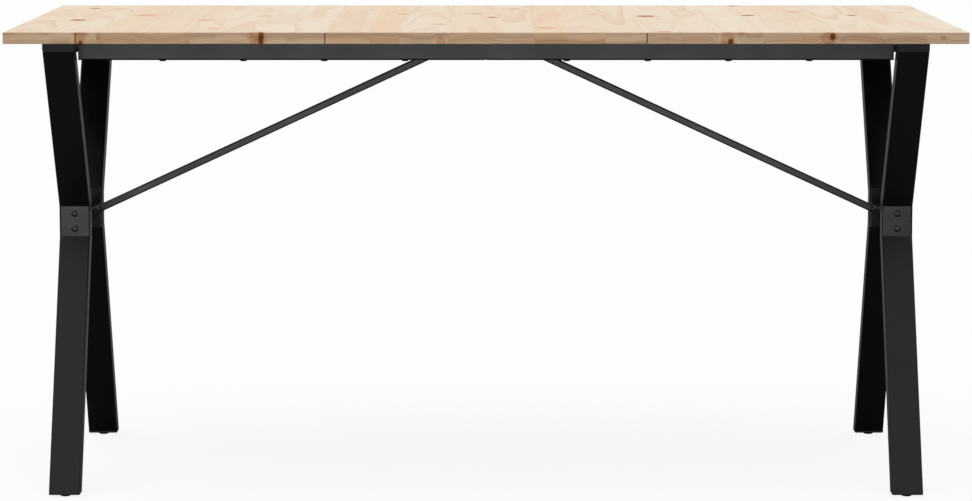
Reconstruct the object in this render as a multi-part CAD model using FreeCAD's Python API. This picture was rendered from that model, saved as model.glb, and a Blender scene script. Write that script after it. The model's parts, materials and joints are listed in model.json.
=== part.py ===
import FreeCAD, Part
import math
import os

# Industrial dining table: three pine panels on a bolted frame of black steel tube.
# Millimetres. X runs along the table, Y towards the rear, Z up. The origin is on the floor under its middle.

# Whole table
TOP_LENGTH = 1500.0
TOP_DEPTH = 800.0
TABLE_HEIGHT = 750.0

# Tabletop panels and the dowels in their seams
PANEL_PLACES = ("left", "centre", "right")
PANEL_THICKNESS = 18.0
PANEL_EDGE_ROUND = 1.2
DOWEL_DIAMETER = 8.0
DOWEL_LENGTH = 40.0
DOWEL_INSET = 80.0
DOWEL_SPACING = 160.0
DOWEL_CHAMFER = 1.0
DOWEL_END_ROOM = 1.0

# End frames: outer planes, leg outline and leg tube
END_OVERHANG = 50.0
FRAME_DEPTH = 620.0
WAIST_DEPTH = 225.0
WAIST_CENTRE_HEIGHT = 423.0
WAIST_LENGTH = 49.0
LEG_WIDTH = 50.0
LEG_THICKNESS = 30.0
LEG_WALL = 1.5
LEG_TOP_PLATE = 4.0

# Feet
GLIDE_HEIGHT = 4.0
GLIDE_DIAMETER = 18.0
GLIDE_FACE_DIAMETER = 9.0
STUD_DIAMETER = 8.0
STUD_LENGTH = 22.0
STUD_SET_IN = 2.0
PLUG_FLANGE = 3.5
PLUG_DEPTH = 22.0
PLUG_RIM = 1.0

# Top bars of the end frames and their end caps
TOP_BAR_HEIGHT = 18.0
TOP_BAR_WALL = 1.5
CAP_FLANGE = 2.0
CAP_DEPTH = 8.0
WELD_NUT_DIAMETER = 11.0
WELD_NUT_HEIGHT = 5.0

# Waist bridges
BRIDGE_WIDTH = 20.0
BRIDGE_HEIGHT = 15.0
BRIDGE_WALL = 1.5
BRIDGE_PLATE = 4.0
BRIDGE_PLATE_MARGIN = 2.0
WAIST_BOLT_SPACING = 25.0

# Rails, their inner sleeves and their end tongues
RAIL_HEIGHT = 35.0
RAIL_DEPTH = 25.0
RAIL_WALL = 1.5
LEG_TO_RAIL = 17.5
RAIL_JOINT_GAP = 0.6
RAIL_END_GAP = 0.5
SLEEVE_LENGTH = 160.0
SLEEVE_WALL = 2.0
TONGUE_THICKNESS = 4.0
TONGUE_REACH = 42.0
TONGUE_ROOT = 40.0
TONGUE_BOLT_EDGE = 12.0
TONGUE_BOLT_SPACING = 20.0

# Centre crossbar
CROSSBAR_WIDTH = 25.0
CROSSBAR_PLATE = 3.0
CROSSBAR_PLATE_LENGTH = 92.0
CROSSBAR_PLATE_MARGIN = 2.0
CROSSBAR_BOLT_SPREAD = 64.0
CROSSBAR_BOLT_SPACING = 16.0

# Braces and the spigots that they slide over
BRACE_SIZE = 12.0
BRACE_WALL = 1.2
BRACE_HEAD_DROP = 7.0
BRACE_END_GAP = 4.0
BRACE_BOLT_INSET = 20.0
SPIGOT_END = 8.0

# Tabletop screws
SCREW_DIAMETER = 4.5
SCREW_HEAD_DIAMETER = 11.0
SCREW_HEAD_HEIGHT = 2.2
SCREW_BITE = 13.0
SCREW_POINT = 5.0
SCREW_PITCH = 129.0
SCREW_SEAM_OFFSET = 8.0
SCREWS_INSIDE_SEAM = 1
SCREWS_OUTSIDE_SEAM = 3
BAR_SCREW_SPACING = 150.0
CROSSBAR_SCREW_SPREAD = 240.0

# Machine bolts: thread, head diameter, head height, hexagon socket across flats
M5 = {"thread": 5.0, "head": 9.5, "rise": 2.8, "socket": 3.0}
M6 = {"thread": 6.0, "head": 10.5, "rise": 3.3, "socket": 4.0}
M6_LOW = {"thread": 6.0, "head": 11.0, "rise": 2.0, "socket": 4.0}
LEG_BOLT_SPREAD = 24.0
BOLT_END_ROOM = 3.0
NUT_ACROSS_FLATS = 8.0
NUT_HEIGHT = 4.0
NUT_BOLT_END = 1.0

# Clearances
THREAD_CLEARANCE = 0.1
HOLE_CLEARANCE = 0.6
SLEEVE_CLEARANCE = 0.2
PLUG_CLEARANCE = 0.2
SPIGOT_CLEARANCE = 0.2
ACCESS_CLEARANCE = 1.0
DRILL_RUN_OUT = 1.0

# Heights and planes that follow from the sizes above
UNDERSIDE = TABLE_HEIGHT - PANEL_THICKNESS
TOP_BAR_BOTTOM = UNDERSIDE - TOP_BAR_HEIGHT
TOP_BAR_FLOOR = TOP_BAR_BOTTOM + TOP_BAR_WALL
RAIL_BOTTOM = UNDERSIDE - RAIL_HEIGHT
RAIL_MIDDLE = UNDERSIDE - RAIL_HEIGHT / 2
LEG_BOTTOM = GLIDE_HEIGHT + PLUG_FLANGE
PANEL_LENGTH = TOP_LENGTH / len(PANEL_PLACES)
FRAME_OUTER = TOP_LENGTH / 2 - END_OVERHANG
FRAME_INNER = FRAME_OUTER - LEG_WIDTH
FRAME_MIDDLE = FRAME_OUTER - LEG_WIDTH / 2
BRIDGE_FACE = FRAME_MIDDLE - BRIDGE_WIDTH / 2
WAIST_INNER_FACE = WAIST_DEPTH / 2 - LEG_THICKNESS
WAIST_BOLT_HEIGHTS = [WAIST_CENTRE_HEIGHT + side * WAIST_BOLT_SPACING / 2 for side in (-1, 1)]

# Front face of a front leg from foot to top, as points (y, z)
LEG_FACE = [
    (-FRAME_DEPTH / 2, LEG_BOTTOM),
    (-WAIST_DEPTH / 2, WAIST_CENTRE_HEIGHT - WAIST_LENGTH / 2),
    (-WAIST_DEPTH / 2, WAIST_CENTRE_HEIGHT + WAIST_LENGTH / 2),
    (-FRAME_DEPTH / 2, TOP_BAR_BOTTOM),
]

ORIGIN = FreeCAD.Vector(0, 0, 0)
ALONG_X = FreeCAD.Vector(1, 0, 0)
ALONG_Y = FreeCAD.Vector(0, 1, 0)
ALONG_Z = FreeCAD.Vector(0, 0, 1)


# Outline of the legs, and the rails that stand clear of them

def offset_path(path, distance):
    """Path of (y, z) points moved sideways, with mitred corners and level ends."""
    steps = [(b[0] - a[0], b[1] - a[1]) for a, b in zip(path, path[1:])]
    units = [(dy / math.hypot(dy, dz), dz / math.hypot(dy, dz)) for dy, dz in steps]
    moved = [(path[0][0] + distance / units[0][1], path[0][1])]
    for (y, z), (ay, az), (by, bz) in zip(path[1:], units, units[1:]):
        share = distance / (1 + ay * by + az * bz)
        moved.append((y + share * (az + bz), z - share * (ay + by)))
    moved.append((path[-1][0] + distance / units[-1][1], path[-1][1]))
    return moved


def level_depth(at_top):
    """Depth of the leg tube along Y where its end is cut level."""
    back = offset_path(LEG_FACE, LEG_THICKNESS)
    end = -1 if at_top else 0
    return back[end][0] - LEG_FACE[end][0]


LEG_TOP_Y = -FRAME_DEPTH / 2 + level_depth(True) / 2
FOOT_Y = -FRAME_DEPTH / 2 + level_depth(False) / 2
RAIL_FRONT_FACE = FRAME_DEPTH / 2 - level_depth(True) - LEG_TO_RAIL
RAIL_Y = RAIL_FRONT_FACE - RAIL_DEPTH / 2
RAIL_INNER_FACE = RAIL_FRONT_FACE - RAIL_DEPTH


# Shapes that many pieces share

def rounded_rectangle(width, height, radius):
    """Face in the XY plane, centred on the origin, with round corners."""
    x, y = width / 2 - radius, height / 2 - radius
    arcs = []
    for turn, (cx, cy) in enumerate([(x, y), (-x, y), (-x, -y), (x, -y)]):
        circle = Part.Circle(FreeCAD.Vector(cx, cy, 0), ALONG_Z, radius)
        arcs.append(Part.Arc(circle, turn * math.pi / 2, (turn + 1) * math.pi / 2))
    edges = []
    for turn, arc in enumerate(arcs):
        following = arcs[(turn + 1) % len(arcs)]
        edges.append(arc.toShape())
        edges.append(Part.LineSegment(arc.EndPoint, following.StartPoint).toShape())
    return Part.Face(Part.Wire(edges))


def prism(face, start, direction, length, side):
    """Face pushed out along a direction, with the face's own X axis laid along side."""
    normal = FreeCAD.Vector(direction).normalize()
    across = FreeCAD.Vector(side).normalize()
    up = normal.cross(across)
    matrix = FreeCAD.Matrix(
        across.x, up.x, normal.x, start.x,
        across.y, up.y, normal.y, start.y,
        across.z, up.z, normal.z, start.z,
        0, 0, 0, 1)
    placed = face.copy()
    placed.Placement = FreeCAD.Placement(matrix)
    return placed.extrude(normal * length)


def tube(width, height, wall, start, direction, length, side):
    """Straight cold-formed tube, open at both ends, its corners bent round one wall thickness."""
    outside = rounded_rectangle(width, height, 2 * wall)
    inside = rounded_rectangle(width - 2 * wall, height - 2 * wall, wall)
    return prism(outside.cut(inside).Faces[0], start, direction, length, side)


def block(low, high):
    """Box between two opposite corners."""
    size = FreeCAD.Vector(high) - FreeCAD.Vector(low)
    return Part.makeBox(size.x, size.y, size.z, FreeCAD.Vector(low))


def rod(diameter, start, direction, length):
    """Round bar, or the tool that drills a round hole."""
    return Part.makeCylinder(diameter / 2, length, start, direction)


def hexagon(across_flats, start, direction, length):
    """Six-sided bar at right angles to X."""
    radius = across_flats / math.sqrt(3)
    points = [FreeCAD.Vector(radius * math.cos(k * math.pi / 3), radius * math.sin(k * math.pi / 3), 0)
              for k in range(6)]
    face = Part.Face(Part.makePolygon(points + points[:1]))
    return prism(face, start, direction, length, ALONG_X)


def revolve(profile):
    """Closed profile of (radius, z) points and arcs' middle points turned round the Z axis."""
    edges = []
    for start, *middle, end in profile:
        points = [FreeCAD.Vector(r, 0, z) for r, z in (start, *middle, end)]
        edges.append(Part.Arc(*points).toShape() if middle else Part.LineSegment(*points).toShape())
    return Part.Face(Part.Wire(edges)).revolve(ORIGIN, ALONG_Z, 360)


def stand(shape, start, direction):
    """Shape modelled along Z, laid along a direction from a point."""
    placed = shape.copy()
    placed.Placement = FreeCAD.Placement(start, FreeCAD.Rotation(ALONG_Z, direction))
    return placed


def mirrored(shape, axis):
    return shape.mirror(ORIGIN, axis)


def drilled(shape, tools):
    return shape.cut(Part.makeCompound(tools)) if tools else shape


def one_solid(shape):
    """The single solid of a fused shape, with its split faces joined."""
    solids = shape.removeSplitter().Solids
    if len(solids) != 1:
        raise ValueError(f"expected one solid and got {len(solids)}")
    return solids[0]


# Fasteners

def bolt(size, length):
    """Button-head bolt: seat at the origin, head above, plain shank below."""
    head, rise = size["head"] / 2, size["rise"]
    shoulder = (head * math.cos(math.pi / 4), rise * math.sin(math.pi / 4))
    dome = revolve([
        [(0, 0), (head, 0)],
        [(head, 0), shoulder, (0, rise)],
        [(0, rise), (0, 0)],
    ])
    socket = hexagon(size["socket"], FreeCAD.Vector(0, 0, rise / 2), ALONG_Z, rise)
    shank = rod(size["thread"], ORIGIN, -ALONG_Z, length)
    return one_solid(dome.cut(socket).fuse(shank))


def hole(size, clearance):
    return size["thread"] + 2 * clearance


def wood_screw(length):
    """Pan-head screw: seat at the origin, point upwards, head below."""
    head, rise, shank = SCREW_HEAD_DIAMETER / 2, SCREW_HEAD_HEIGHT, SCREW_DIAMETER / 2
    shoulder = (head * math.cos(math.pi / 4), -rise * math.sin(math.pi / 4))
    return revolve([
        [(0, -rise), shoulder, (head, 0)],
        [(head, 0), (shank, 0)],
        [(shank, 0), (shank, length - SCREW_POINT)],
        [(shank, length - SCREW_POINT), (0, length)],
        [(0, length), (0, -rise)],
    ])


def rail_screw_positions():
    """X of the screws along a rail, counted from the panel seams outwards and inwards."""
    seam = PANEL_LENGTH / 2
    steps = range(-SCREWS_INSIDE_SEAM, SCREWS_OUTSIDE_SEAM)
    outward = [seam + SCREW_SEAM_OFFSET + step * SCREW_PITCH for step in steps]
    return [-x for x in reversed(outward)] + outward


RAIL_SCREWS = {side: [(x, side * RAIL_Y, RAIL_BOTTOM) for x in rail_screw_positions()] for side in (-1, 1)}
BAR_SCREWS = [(side * FRAME_MIDDLE, step * BAR_SCREW_SPACING, TOP_BAR_BOTTOM)
              for side in (-1, 1) for step in (-1, 0, 1)]
CROSSBAR_SCREWS = [(0, side * CROSSBAR_SCREW_SPREAD / 2, RAIL_BOTTOM) for side in (-1, 1)]


def tabletop_screws(seats):
    """Wood screws whose heads bear on the given seats and whose points end in the tabletop."""
    return [stand(wood_screw(UNDERSIDE + SCREW_BITE - z), FreeCAD.Vector(x, y, z), ALONG_Z)
            for x, y, z in seats]


def screw_holes(seats, diameter, top):
    """Upright drill tools from just below the seats to a height."""
    return [rod(diameter, FreeCAD.Vector(x, y, z - SCREW_HEAD_HEIGHT), ALONG_Z, top - z + SCREW_HEAD_HEIGHT)
            for x, y, z in seats]


# Tabletop

def dowel_positions():
    count = int((TOP_DEPTH - 2 * DOWEL_INSET) // DOWEL_SPACING) + 1
    first = -(count - 1) * DOWEL_SPACING / 2
    return [first + k * DOWEL_SPACING for k in range(count)]


def seam_positions():
    return [k * PANEL_LENGTH - TOP_LENGTH / 2 for k in range(1, len(PANEL_PLACES))]


def across_seams(diameter, length):
    """Round bars laid across every seam at the dowels' places."""
    height = TABLE_HEIGHT - PANEL_THICKNESS / 2
    return [rod(diameter, FreeCAD.Vector(seam - length / 2, y, height), ALONG_X, length)
            for seam in seam_positions() for y in dowel_positions()]


def seam_dowels():
    bars = across_seams(DOWEL_DIAMETER, DOWEL_LENGTH)
    rims = [[edge for edge in bar.Edges if edge.Closed] for bar in bars]
    return [bar.makeChamfer(DOWEL_CHAMFER, rim) for bar, rim in zip(bars, rims)]


def tabletop_panel(index):
    """One panel of glued staves with eased edges, dowel holes and pilot holes for the screws."""
    left = index * PANEL_LENGTH - TOP_LENGTH / 2
    slab = block((left, -TOP_DEPTH / 2, UNDERSIDE), (left + PANEL_LENGTH, TOP_DEPTH / 2, TABLE_HEIGHT))
    eased = slab.makeFillet(PANEL_EDGE_ROUND, slab.Edges)
    seats = RAIL_SCREWS[-1] + RAIL_SCREWS[1] + BAR_SCREWS + CROSSBAR_SCREWS
    own = [seat for seat in seats if left < seat[0] < left + PANEL_LENGTH]
    pilot_end = UNDERSIDE + SCREW_BITE + THREAD_CLEARANCE
    pilots = screw_holes(own, SCREW_DIAMETER + 2 * THREAD_CLEARANCE, pilot_end)
    dowel_holes = across_seams(DOWEL_DIAMETER, DOWEL_LENGTH + 2 * DOWEL_END_ROOM)
    return one_solid(drilled(eased, pilots + dowel_holes))


# Bent legs

def bent_bar(face_path, width, thickness, corner):
    """Bar of rounded section behind a bent front face, mitred at the bends, centred on X = 0."""
    margin = thickness
    middle = offset_path(face_path, thickness / 2)
    ahead = offset_path(face_path, -margin)
    behind = offset_path(face_path, thickness + margin)
    section = rounded_rectangle(width, thickness, corner)
    pieces = []
    for k in range(len(face_path) - 1):
        outline = [ahead[k], ahead[k + 1], behind[k + 1], behind[k], ahead[k]]
        corners = [FreeCAD.Vector(-width, y, z) for y, z in outline]
        wedge = Part.Face(Part.makePolygon(corners)).extrude(ALONG_X * 2 * width)
        start = FreeCAD.Vector(0, *middle[k])
        end = FreeCAD.Vector(0, *middle[k + 1])
        direction = (end - start).normalize()
        run_out = direction * 2 * thickness
        length = start.distanceToPoint(end) + 2 * run_out.Length
        pieces.append(prism(section, start - run_out, direction, length, ALONG_X).common(wedge))
    return one_solid(pieces[0].fuse(pieces[1:]))


def below(shape, height):
    """What is left of a shape under a level plane."""
    box = shape.BoundBox
    return shape.common(block((box.XMin, box.YMin, box.ZMin), (box.XMax, box.YMax, height)))


def leg_bore(clearance):
    """Hollow of the leg tube, less a clearance all round."""
    gap = LEG_WALL + clearance
    path = offset_path(LEG_FACE, gap)
    return bent_bar(path, LEG_WIDTH - 2 * gap, LEG_THICKNESS - 2 * gap, LEG_WALL)


def leg_bolt_places():
    """X and Y of the bolts between a front leg, centred on X = 0, and its top bar."""
    return [(side * LEG_BOLT_SPREAD / 2, LEG_TOP_Y) for side in (-1, 1)]


def front_leg():
    """Front leg centred on X = 0: mitred tube, welded top plate, holes for its bolts."""
    outside = bent_bar(LEG_FACE, LEG_WIDTH, LEG_THICKNESS, 2 * LEG_WALL)
    hollow = below(leg_bore(0), TOP_BAR_BOTTOM - LEG_TOP_PLATE)
    tools = [rod(hole(M6_LOW, HOLE_CLEARANCE), FreeCAD.Vector(0, -WAIST_DEPTH / 2 - LEG_WALL, z), ALONG_Y,
                 LEG_THICKNESS + 2 * LEG_WALL) for z in WAIST_BOLT_HEIGHTS]
    tools += [rod(hole(M6, THREAD_CLEARANCE), FreeCAD.Vector(x, y, TOP_BAR_BOTTOM), -ALONG_Z,
                  LEG_TOP_PLATE + BOLT_END_ROOM) for x, y in leg_bolt_places()]
    return one_solid(drilled(outside.cut(hollow), tools))


def foot_outline():
    """Outline of the level cut at the foot of a front leg."""
    return rounded_rectangle(LEG_WIDTH, level_depth(False), 2 * LEG_WALL)


def leg_end_plug():
    """Plastic plug: level flange under the tube, and a slanted spigot inside it, threaded for the stud."""
    flange = prism(foot_outline(), FreeCAD.Vector(0, FOOT_Y, GLIDE_HEIGHT), ALONG_Z, PLUG_FLANGE, ALONG_X)
    rim = min(PLUG_RIM, PLUG_FLANGE / 2)
    lower = [edge for edge in flange.Edges if edge.BoundBox.ZMax < GLIDE_HEIGHT + PLUG_FLANGE / 2]
    flange = flange.makeChamfer(rim, lower)
    spigot = below(leg_bore(PLUG_CLEARANCE), LEG_BOTTOM + PLUG_DEPTH)
    stud_hole = rod(STUD_DIAMETER + 2 * THREAD_CLEARANCE, FreeCAD.Vector(0, FOOT_Y, 0), ALONG_Z,
                    GLIDE_HEIGHT + STUD_LENGTH)
    return one_solid(flange.fuse(spigot).cut(stud_hole))


def glide_pad():
    """Round plastic foot with a flat face, its stud hole open on top."""
    edge, face = GLIDE_DIAMETER / 2, GLIDE_FACE_DIAMETER / 2
    knee = GLIDE_HEIGHT / 2
    bend = (face + (edge - face) * math.sin(math.pi / 4), knee * (1 - math.cos(math.pi / 4)))
    pad = revolve([
        [(0, 0), (face, 0)],
        [(face, 0), bend, (edge, knee)],
        [(edge, knee), (edge, GLIDE_HEIGHT)],
        [(edge, GLIDE_HEIGHT), (0, GLIDE_HEIGHT)],
        [(0, GLIDE_HEIGHT), (0, 0)],
    ])
    socket = rod(STUD_DIAMETER, FreeCAD.Vector(0, 0, GLIDE_HEIGHT), -ALONG_Z, STUD_SET_IN)
    return one_solid(pad.cut(socket))


def glide_stud():
    return rod(STUD_DIAMETER, FreeCAD.Vector(0, 0, GLIDE_HEIGHT - STUD_SET_IN), ALONG_Z, STUD_LENGTH)


# Top bars

def tongue_bolt_places():
    """X and Y of the bolts between a top bar, centred on X = 0 with its inner face at +X, and the rails."""
    first = LEG_WIDTH / 2 - TONGUE_BOLT_EDGE
    return [(first - step * TONGUE_BOLT_SPACING, side * RAIL_Y) for side in (-1, 1) for step in (0, 1)]


def top_bar():
    """Low tube on the leg tops, centred on X = 0 with its inner face at +X."""
    length = FRAME_DEPTH - 2 * CAP_FLANGE
    middle = FreeCAD.Vector(0, -length / 2, UNDERSIDE - TOP_BAR_HEIGHT / 2)
    bar = tube(LEG_WIDTH, TOP_BAR_HEIGHT, TOP_BAR_WALL, middle, ALONG_Y, length, ALONG_X)
    nuts = [rod(WELD_NUT_DIAMETER, FreeCAD.Vector(x, y, TOP_BAR_FLOOR), ALONG_Z, WELD_NUT_HEIGHT)
            for x, y in tongue_bolt_places()]
    through = TOP_BAR_WALL + 2 * DRILL_RUN_OUT
    tools = [rod(hole(M6, THREAD_CLEARANCE), FreeCAD.Vector(x, y, TOP_BAR_BOTTOM - DRILL_RUN_OUT), ALONG_Z,
                 through + WELD_NUT_HEIGHT) for x, y in tongue_bolt_places()]
    for side in (-1, 1):
        for x, y in leg_bolt_places():
            low = FreeCAD.Vector(x, -side * y, TOP_BAR_BOTTOM - DRILL_RUN_OUT)
            tools.append(rod(hole(M6, HOLE_CLEARANCE), low, ALONG_Z, through))
            high = FreeCAD.Vector(x, -side * y, UNDERSIDE - TOP_BAR_HEIGHT / 2)
            tools.append(rod(M6["head"] + 2 * ACCESS_CLEARANCE, high, ALONG_Z, TOP_BAR_HEIGHT))
    own = [(0, y, z) for x, y, z in BAR_SCREWS if x > 0]
    tools += screw_holes(own, SCREW_DIAMETER + 2 * HOLE_CLEARANCE, UNDERSIDE + DRILL_RUN_OUT)
    return one_solid(drilled(bar.fuse(nuts), tools))


def top_bar_end_cap():
    """Cap in the front end of a top bar: flange outside, spigot in the tube."""
    middle = UNDERSIDE - TOP_BAR_HEIGHT / 2
    front = FreeCAD.Vector(0, -FRAME_DEPTH / 2, middle)
    flange_face = rounded_rectangle(LEG_WIDTH, TOP_BAR_HEIGHT, 2 * TOP_BAR_WALL)
    flange = prism(flange_face, front, ALONG_Y, CAP_FLANGE, ALONG_X)
    inset = 2 * (TOP_BAR_WALL + PLUG_CLEARANCE)
    spigot_face = rounded_rectangle(LEG_WIDTH - inset, TOP_BAR_HEIGHT - inset, TOP_BAR_WALL)
    back = FreeCAD.Vector(0, -FRAME_DEPTH / 2 + CAP_FLANGE, middle)
    return one_solid(flange.fuse(prism(spigot_face, back, ALONG_Y, CAP_DEPTH, ALONG_X)))


# Braces, with the spigots that stand out of the bridge and the crossbar

BRACE_FOOT = FreeCAD.Vector(BRIDGE_FACE, 0, WAIST_CENTRE_HEIGHT)
BRACE_HEAD = FreeCAD.Vector(CROSSBAR_WIDTH / 2, 0, UNDERSIDE - BRACE_HEAD_DROP)
BRACE_RUN = BRACE_HEAD - BRACE_FOOT
BRACE_WAY = FreeCAD.Vector(BRACE_RUN).normalize()
BRACE_BOLTS = [BRACE_FOOT + BRACE_WAY * BRACE_BOLT_INSET, BRACE_HEAD - BRACE_WAY * BRACE_BOLT_INSET]


def brace_bolt_hole(middle):
    """Drill tool through the brace from front to rear."""
    return rod(hole(M5, HOLE_CLEARANCE / 2), middle - ALONG_Y * BRACE_SIZE, ALONG_Y, 2 * BRACE_SIZE)


def brace_spigot(root, way, wall):
    """Square spigot that starts inside the wall it is welded to and fills the end of the brace tube."""
    bore = BRACE_SIZE - 2 * BRACE_WALL
    face = rounded_rectangle(bore, bore - 2 * SPIGOT_CLEARANCE, 2 * BRACE_WALL)
    start = root - way * wall / 2
    length = wall / 2 + BRACE_BOLT_INSET + SPIGOT_END
    return prism(face, start, way, length, ALONG_Y).cut(brace_bolt_hole(root + way * BRACE_BOLT_INSET))


def right_brace():
    start = BRACE_FOOT + BRACE_WAY * BRACE_END_GAP
    length = BRACE_RUN.Length - 2 * BRACE_END_GAP
    bar = tube(BRACE_SIZE, BRACE_SIZE, BRACE_WALL, start, BRACE_WAY, length, ALONG_Y)
    return one_solid(drilled(bar, [brace_bolt_hole(at) for at in BRACE_BOLTS]))


def brace_bolts():
    length = BRACE_SIZE + NUT_HEIGHT + NUT_BOLT_END
    right = [stand(bolt(M5, length), at - ALONG_Y * BRACE_SIZE / 2, -ALONG_Y) for at in BRACE_BOLTS]
    return right + [mirrored(one, ALONG_X) for one in right]


def brace_nuts():
    right = []
    for at in BRACE_BOLTS:
        body = hexagon(NUT_ACROSS_FLATS, at + ALONG_Y * BRACE_SIZE / 2, ALONG_Y, NUT_HEIGHT)
        right.append(body.cut(rod(hole(M5, THREAD_CLEARANCE), at, ALONG_Y, BRACE_SIZE + NUT_HEIGHT)))
    return right + [mirrored(one, ALONG_X) for one in right]


# Waist bridges

def right_waist_bridge():
    """Tube between the two legs' waists, with threaded end plates and the brace's spigot."""
    inner_length = 2 * (WAIST_INNER_FACE - BRIDGE_PLATE)
    start = FreeCAD.Vector(FRAME_MIDDLE, -inner_length / 2, WAIST_CENTRE_HEIGHT)
    bridge = tube(BRIDGE_WIDTH, BRIDGE_HEIGHT, BRIDGE_WALL, start, ALONG_Y, inner_length, ALONG_X)
    height = WAIST_LENGTH - 2 * BRIDGE_PLATE_MARGIN
    plate = rounded_rectangle(LEG_WIDTH - 4 * LEG_WALL, height, 2 * BRIDGE_WALL)
    plates = [prism(plate, FreeCAD.Vector(FRAME_MIDDLE, side * WAIST_INNER_FACE, WAIST_CENTRE_HEIGHT),
                    ALONG_Y * -side, BRIDGE_PLATE, ALONG_X) for side in (-1, 1)]
    spigot = brace_spigot(BRACE_FOOT, BRACE_WAY, BRIDGE_WALL)
    threads = [rod(hole(M6_LOW, THREAD_CLEARANCE), FreeCAD.Vector(FRAME_MIDDLE, side * WAIST_INNER_FACE, z),
                   ALONG_Y * -side, BRIDGE_PLATE + BOLT_END_ROOM + DRILL_RUN_OUT)
               for side in (-1, 1) for z in WAIST_BOLT_HEIGHTS]
    return one_solid(drilled(bridge.fuse(plates + [spigot]), threads))


def waist_bolts():
    length = LEG_THICKNESS + BRIDGE_PLATE + BOLT_END_ROOM
    seat = WAIST_DEPTH / 2
    return [stand(bolt(M6_LOW, length), FreeCAD.Vector(end * FRAME_MIDDLE, side * seat, z), ALONG_Y * side)
            for end in (-1, 1) for side in (-1, 1) for z in WAIST_BOLT_HEIGHTS]


def leg_top_bolts():
    length = TOP_BAR_WALL + LEG_TOP_PLATE + BOLT_END_ROOM
    return [stand(bolt(M6, length), FreeCAD.Vector(end * FRAME_MIDDLE + x, -side * y, TOP_BAR_FLOOR), ALONG_Z)
            for end in (-1, 1) for side in (-1, 1) for x, y in leg_bolt_places()]


# Rails

def crossbar_bolt_places(signs):
    """Bolt places on the inner face of a rail's sleeve, as (x, z)."""
    return [(sign * CROSSBAR_BOLT_SPREAD / 2, RAIL_MIDDLE + step * CROSSBAR_BOLT_SPACING / 2)
            for sign in signs for step in (-1, 1)]


def front_rail_right():
    """Right half of the front rail: tube, and a tongue welded inside its end that lies under the top bar."""
    start = FreeCAD.Vector(RAIL_JOINT_GAP / 2, -RAIL_Y, RAIL_MIDDLE)
    end = FRAME_INNER - RAIL_END_GAP
    rail = tube(RAIL_DEPTH, RAIL_HEIGHT, RAIL_WALL, start, ALONG_X, end - start.x, ALONG_Y)
    half = RAIL_DEPTH / 2 - RAIL_WALL
    tongue = block((end - TONGUE_ROOT, -RAIL_Y - half, TOP_BAR_BOTTOM - TONGUE_THICKNESS),
                   (FRAME_INNER + TONGUE_REACH, -RAIL_Y + half, TOP_BAR_BOTTOM))
    tools = [rod(hole(M6, HOLE_CLEARANCE), FreeCAD.Vector(FRAME_MIDDLE - x, y, TOP_BAR_BOTTOM), -ALONG_Z,
                 2 * TONGUE_THICKNESS) for x, y in tongue_bolt_places() if y < 0]
    own = [seat for seat in RAIL_SCREWS[-1] if seat[0] > 0]
    tools += screw_holes(own, SCREW_DIAMETER + 2 * HOLE_CLEARANCE, UNDERSIDE + DRILL_RUN_OUT)
    tools += [rod(hole(M6, HOLE_CLEARANCE), FreeCAD.Vector(x, -RAIL_Y, z), ALONG_Y, RAIL_DEPTH)
              for x, z in crossbar_bolt_places((1,))]
    return one_solid(drilled(rail.fuse(tongue), tools))


def front_rail_sleeve():
    """Tube inside the joint of the two rail halves, drawn against their walls by the crossbar's bolts."""
    inset = 2 * (RAIL_WALL + SLEEVE_CLEARANCE)
    start = FreeCAD.Vector(-SLEEVE_LENGTH / 2, -RAIL_Y + SLEEVE_CLEARANCE, RAIL_MIDDLE)
    sleeve = tube(RAIL_DEPTH - inset, RAIL_HEIGHT - inset, SLEEVE_WALL, start, ALONG_X,
                  SLEEVE_LENGTH, ALONG_Y)
    threads = [rod(hole(M6, THREAD_CLEARANCE), FreeCAD.Vector(x, -RAIL_Y, z), ALONG_Y, RAIL_DEPTH)
               for x, z in crossbar_bolt_places((-1, 1))]
    return one_solid(drilled(sleeve, threads))


def rail_end_bolts():
    length = TONGUE_THICKNESS + TOP_BAR_WALL + WELD_NUT_HEIGHT
    seat = TOP_BAR_BOTTOM - TONGUE_THICKNESS
    return [stand(bolt(M6, length), FreeCAD.Vector(end * (FRAME_MIDDLE - x), y, seat), -ALONG_Z)
            for end in (-1, 1) for x, y in tongue_bolt_places()]


# Centre crossbar

def centre_crossbar():
    """Tube between the rails with bolted end plates and a spigot for each brace."""
    length = 2 * (RAIL_INNER_FACE - CROSSBAR_PLATE)
    start = FreeCAD.Vector(0, -length / 2, RAIL_MIDDLE)
    bar = tube(CROSSBAR_WIDTH, RAIL_HEIGHT, RAIL_WALL, start, ALONG_Y, length, ALONG_X)
    height = RAIL_HEIGHT - 2 * CROSSBAR_PLATE_MARGIN
    plate = rounded_rectangle(CROSSBAR_PLATE_LENGTH, height, 2 * RAIL_WALL)
    plates = [prism(plate, FreeCAD.Vector(0, side * RAIL_INNER_FACE, RAIL_MIDDLE), ALONG_Y * -side,
                    CROSSBAR_PLATE, ALONG_X) for side in (-1, 1)]
    right_spigot = brace_spigot(BRACE_HEAD, -BRACE_WAY, RAIL_WALL)
    spigots = [right_spigot, mirrored(right_spigot, ALONG_X)]
    tools = [rod(hole(M6, HOLE_CLEARANCE), FreeCAD.Vector(x, side * RAIL_INNER_FACE, z), ALONG_Y * -side,
                 2 * CROSSBAR_PLATE) for side in (-1, 1) for x, z in crossbar_bolt_places((-1, 1))]
    tools += screw_holes(CROSSBAR_SCREWS, SCREW_DIAMETER + 2 * HOLE_CLEARANCE, UNDERSIDE + DRILL_RUN_OUT)
    return one_solid(drilled(bar.fuse(plates + spigots), tools))


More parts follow.
